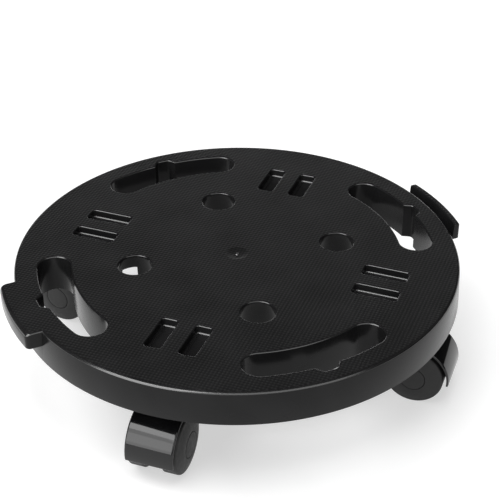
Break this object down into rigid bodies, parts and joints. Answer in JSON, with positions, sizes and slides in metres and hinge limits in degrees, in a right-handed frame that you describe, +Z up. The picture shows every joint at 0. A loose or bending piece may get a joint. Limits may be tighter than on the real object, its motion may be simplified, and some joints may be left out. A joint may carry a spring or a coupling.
{
  "type": "plant pot caddy",
  "caption": "Round moulded plant pot caddy: a ribbed slotted deck with link tabs, rolling on hooded twin-wheel swivel casters.",
  "frame": {"origin": "on the floor under the middle of the deck", "axes": "+X towards the channel tab, +Z up, -Y the front"},
  "size_m": [0.32, 0.3014, 0.0783],
  "materials": {
    "deck_plastic": "fine moulded grain",
    "hood_plastic": "polished",
    "wheel_plastic": "smooth matte",
    "cap_plastic": "smooth matte",
    "zinc_steel": "zinc plated"
  },
  "bodies": {
    "deck": {"deck": "deck_plastic", "front_right_grip_ring": "zinc_steel", "back_right_grip_ring": "zinc_steel", "back_left_grip_ring": "zinc_steel", "front_left_grip_ring": "zinc_steel"},
    "front_right_caster": {"front_right_stem": "zinc_steel", "front_right_housing": "hood_plastic", "front_right_axle": "zinc_steel"},
    "front_right_left_wheel": {"front_right_left_wheel": "wheel_plastic", "front_right_left_hub_cap": "cap_plastic"},
    "front_right_right_wheel": {"front_right_right_wheel": "wheel_plastic", "front_right_right_hub_cap": "cap_plastic"},
    "back_right_caster": {"back_right_stem": "zinc_steel", "back_right_housing": "hood_plastic", "back_right_axle": "zinc_steel"},
    "back_right_left_wheel": {"back_right_left_wheel": "wheel_plastic", "back_right_left_hub_cap": "cap_plastic"},
    "back_right_right_wheel": {"back_right_right_wheel": "wheel_plastic", "back_right_right_hub_cap": "cap_plastic"},
    "back_left_caster": {"back_left_stem": "zinc_steel", "back_left_housing": "hood_plastic", "back_left_axle": "zinc_steel"},
    "back_left_left_wheel": {"back_left_left_wheel": "wheel_plastic", "back_left_left_hub_cap": "cap_plastic"},
    "back_left_right_wheel": {"back_left_right_wheel": "wheel_plastic", "back_left_right_hub_cap": "cap_plastic"},
    "front_left_caster": {"front_left_stem": "zinc_steel", "front_left_housing": "hood_plastic", "front_left_axle": "zinc_steel"},
    "front_left_left_wheel": {"front_left_left_wheel": "wheel_plastic", "front_left_left_hub_cap": "cap_plastic"},
    "front_left_right_wheel": {"front_left_right_wheel": "wheel_plastic", "front_left_right_hub_cap": "cap_plastic"}
  },
  "joints": [
    {"name": "front_right_swivel", "type": "hinge", "parent": "deck", "child": "front_right_caster", "pos_m": [0.08485, -0.08485, 0.0544], "axis": [0, 0, 1], "continuous": true},
    {"name": "front_right_left_wheel_spin", "type": "hinge", "parent": "front_right_caster", "child": "front_right_left_wheel", "pos_m": [0.09241, -0.09215, 0.02], "axis": [0.6947, 0.7193, 0], "continuous": true},
    {"name": "front_right_right_wheel_spin", "type": "hinge", "parent": "front_right_caster", "child": "front_right_right_wheel", "pos_m": [0.09241, -0.09215, 0.02], "axis": [0.6947, 0.7193, 0], "continuous": true},
    {"name": "back_right_swivel", "type": "hinge", "parent": "deck", "child": "back_right_caster", "pos_m": [0.08485, 0.08485, 0.0544], "axis": [0, 0, 1], "continuous": true},
    {"name": "back_right_left_wheel_spin", "type": "hinge", "parent": "back_right_caster", "child": "back_right_left_wheel", "pos_m": [0.09266, 0.09188, 0.02], "axis": [-0.6691, 0.7431, 0], "continuous": true},
    {"name": "back_right_right_wheel_spin", "type": "hinge", "parent": "back_right_caster", "child": "back_right_right_wheel", "pos_m": [0.09266, 0.09188, 0.02], "axis": [-0.6691, 0.7431, 0], "continuous": true},
    {"name": "back_left_swivel", "type": "hinge", "parent": "deck", "child": "back_left_caster", "pos_m": [-0.08485, 0.08485, 0.0544], "axis": [0, 0, 1], "continuous": true},
    {"name": "back_left_left_wheel_spin", "type": "hinge", "parent": "back_left_caster", "child": "back_left_left_wheel", "pos_m": [-0.09132, 0.09313, 0.02], "axis": [-0.788, -0.6157, 0], "continuous": true},
    {"name": "back_left_right_wheel_spin", "type": "hinge", "parent": "back_left_caster", "child": "back_left_right_wheel", "pos_m": [-0.09132, 0.09313, 0.02], "axis": [-0.788, -0.6157, 0], "continuous": true},
    {"name": "front_left_swivel", "type": "hinge", "parent": "deck", "child": "front_left_caster", "pos_m": [-0.08485, -0.08485, 0.0544], "axis": [0, 0, 1], "continuous": true},
    {"name": "front_left_left_wheel_spin", "type": "hinge", "parent": "front_left_caster", "child": "front_left_left_wheel", "pos_m": [-0.09215, -0.09241, 0.02], "axis": [0.7193, -0.6947, 0], "continuous": true},
    {"name": "front_left_right_wheel_spin", "type": "hinge", "parent": "front_left_caster", "child": "front_left_right_wheel", "pos_m": [-0.09215, -0.09241, 0.02], "axis": [0.7193, -0.6947, 0], "continuous": true}
  ]
}
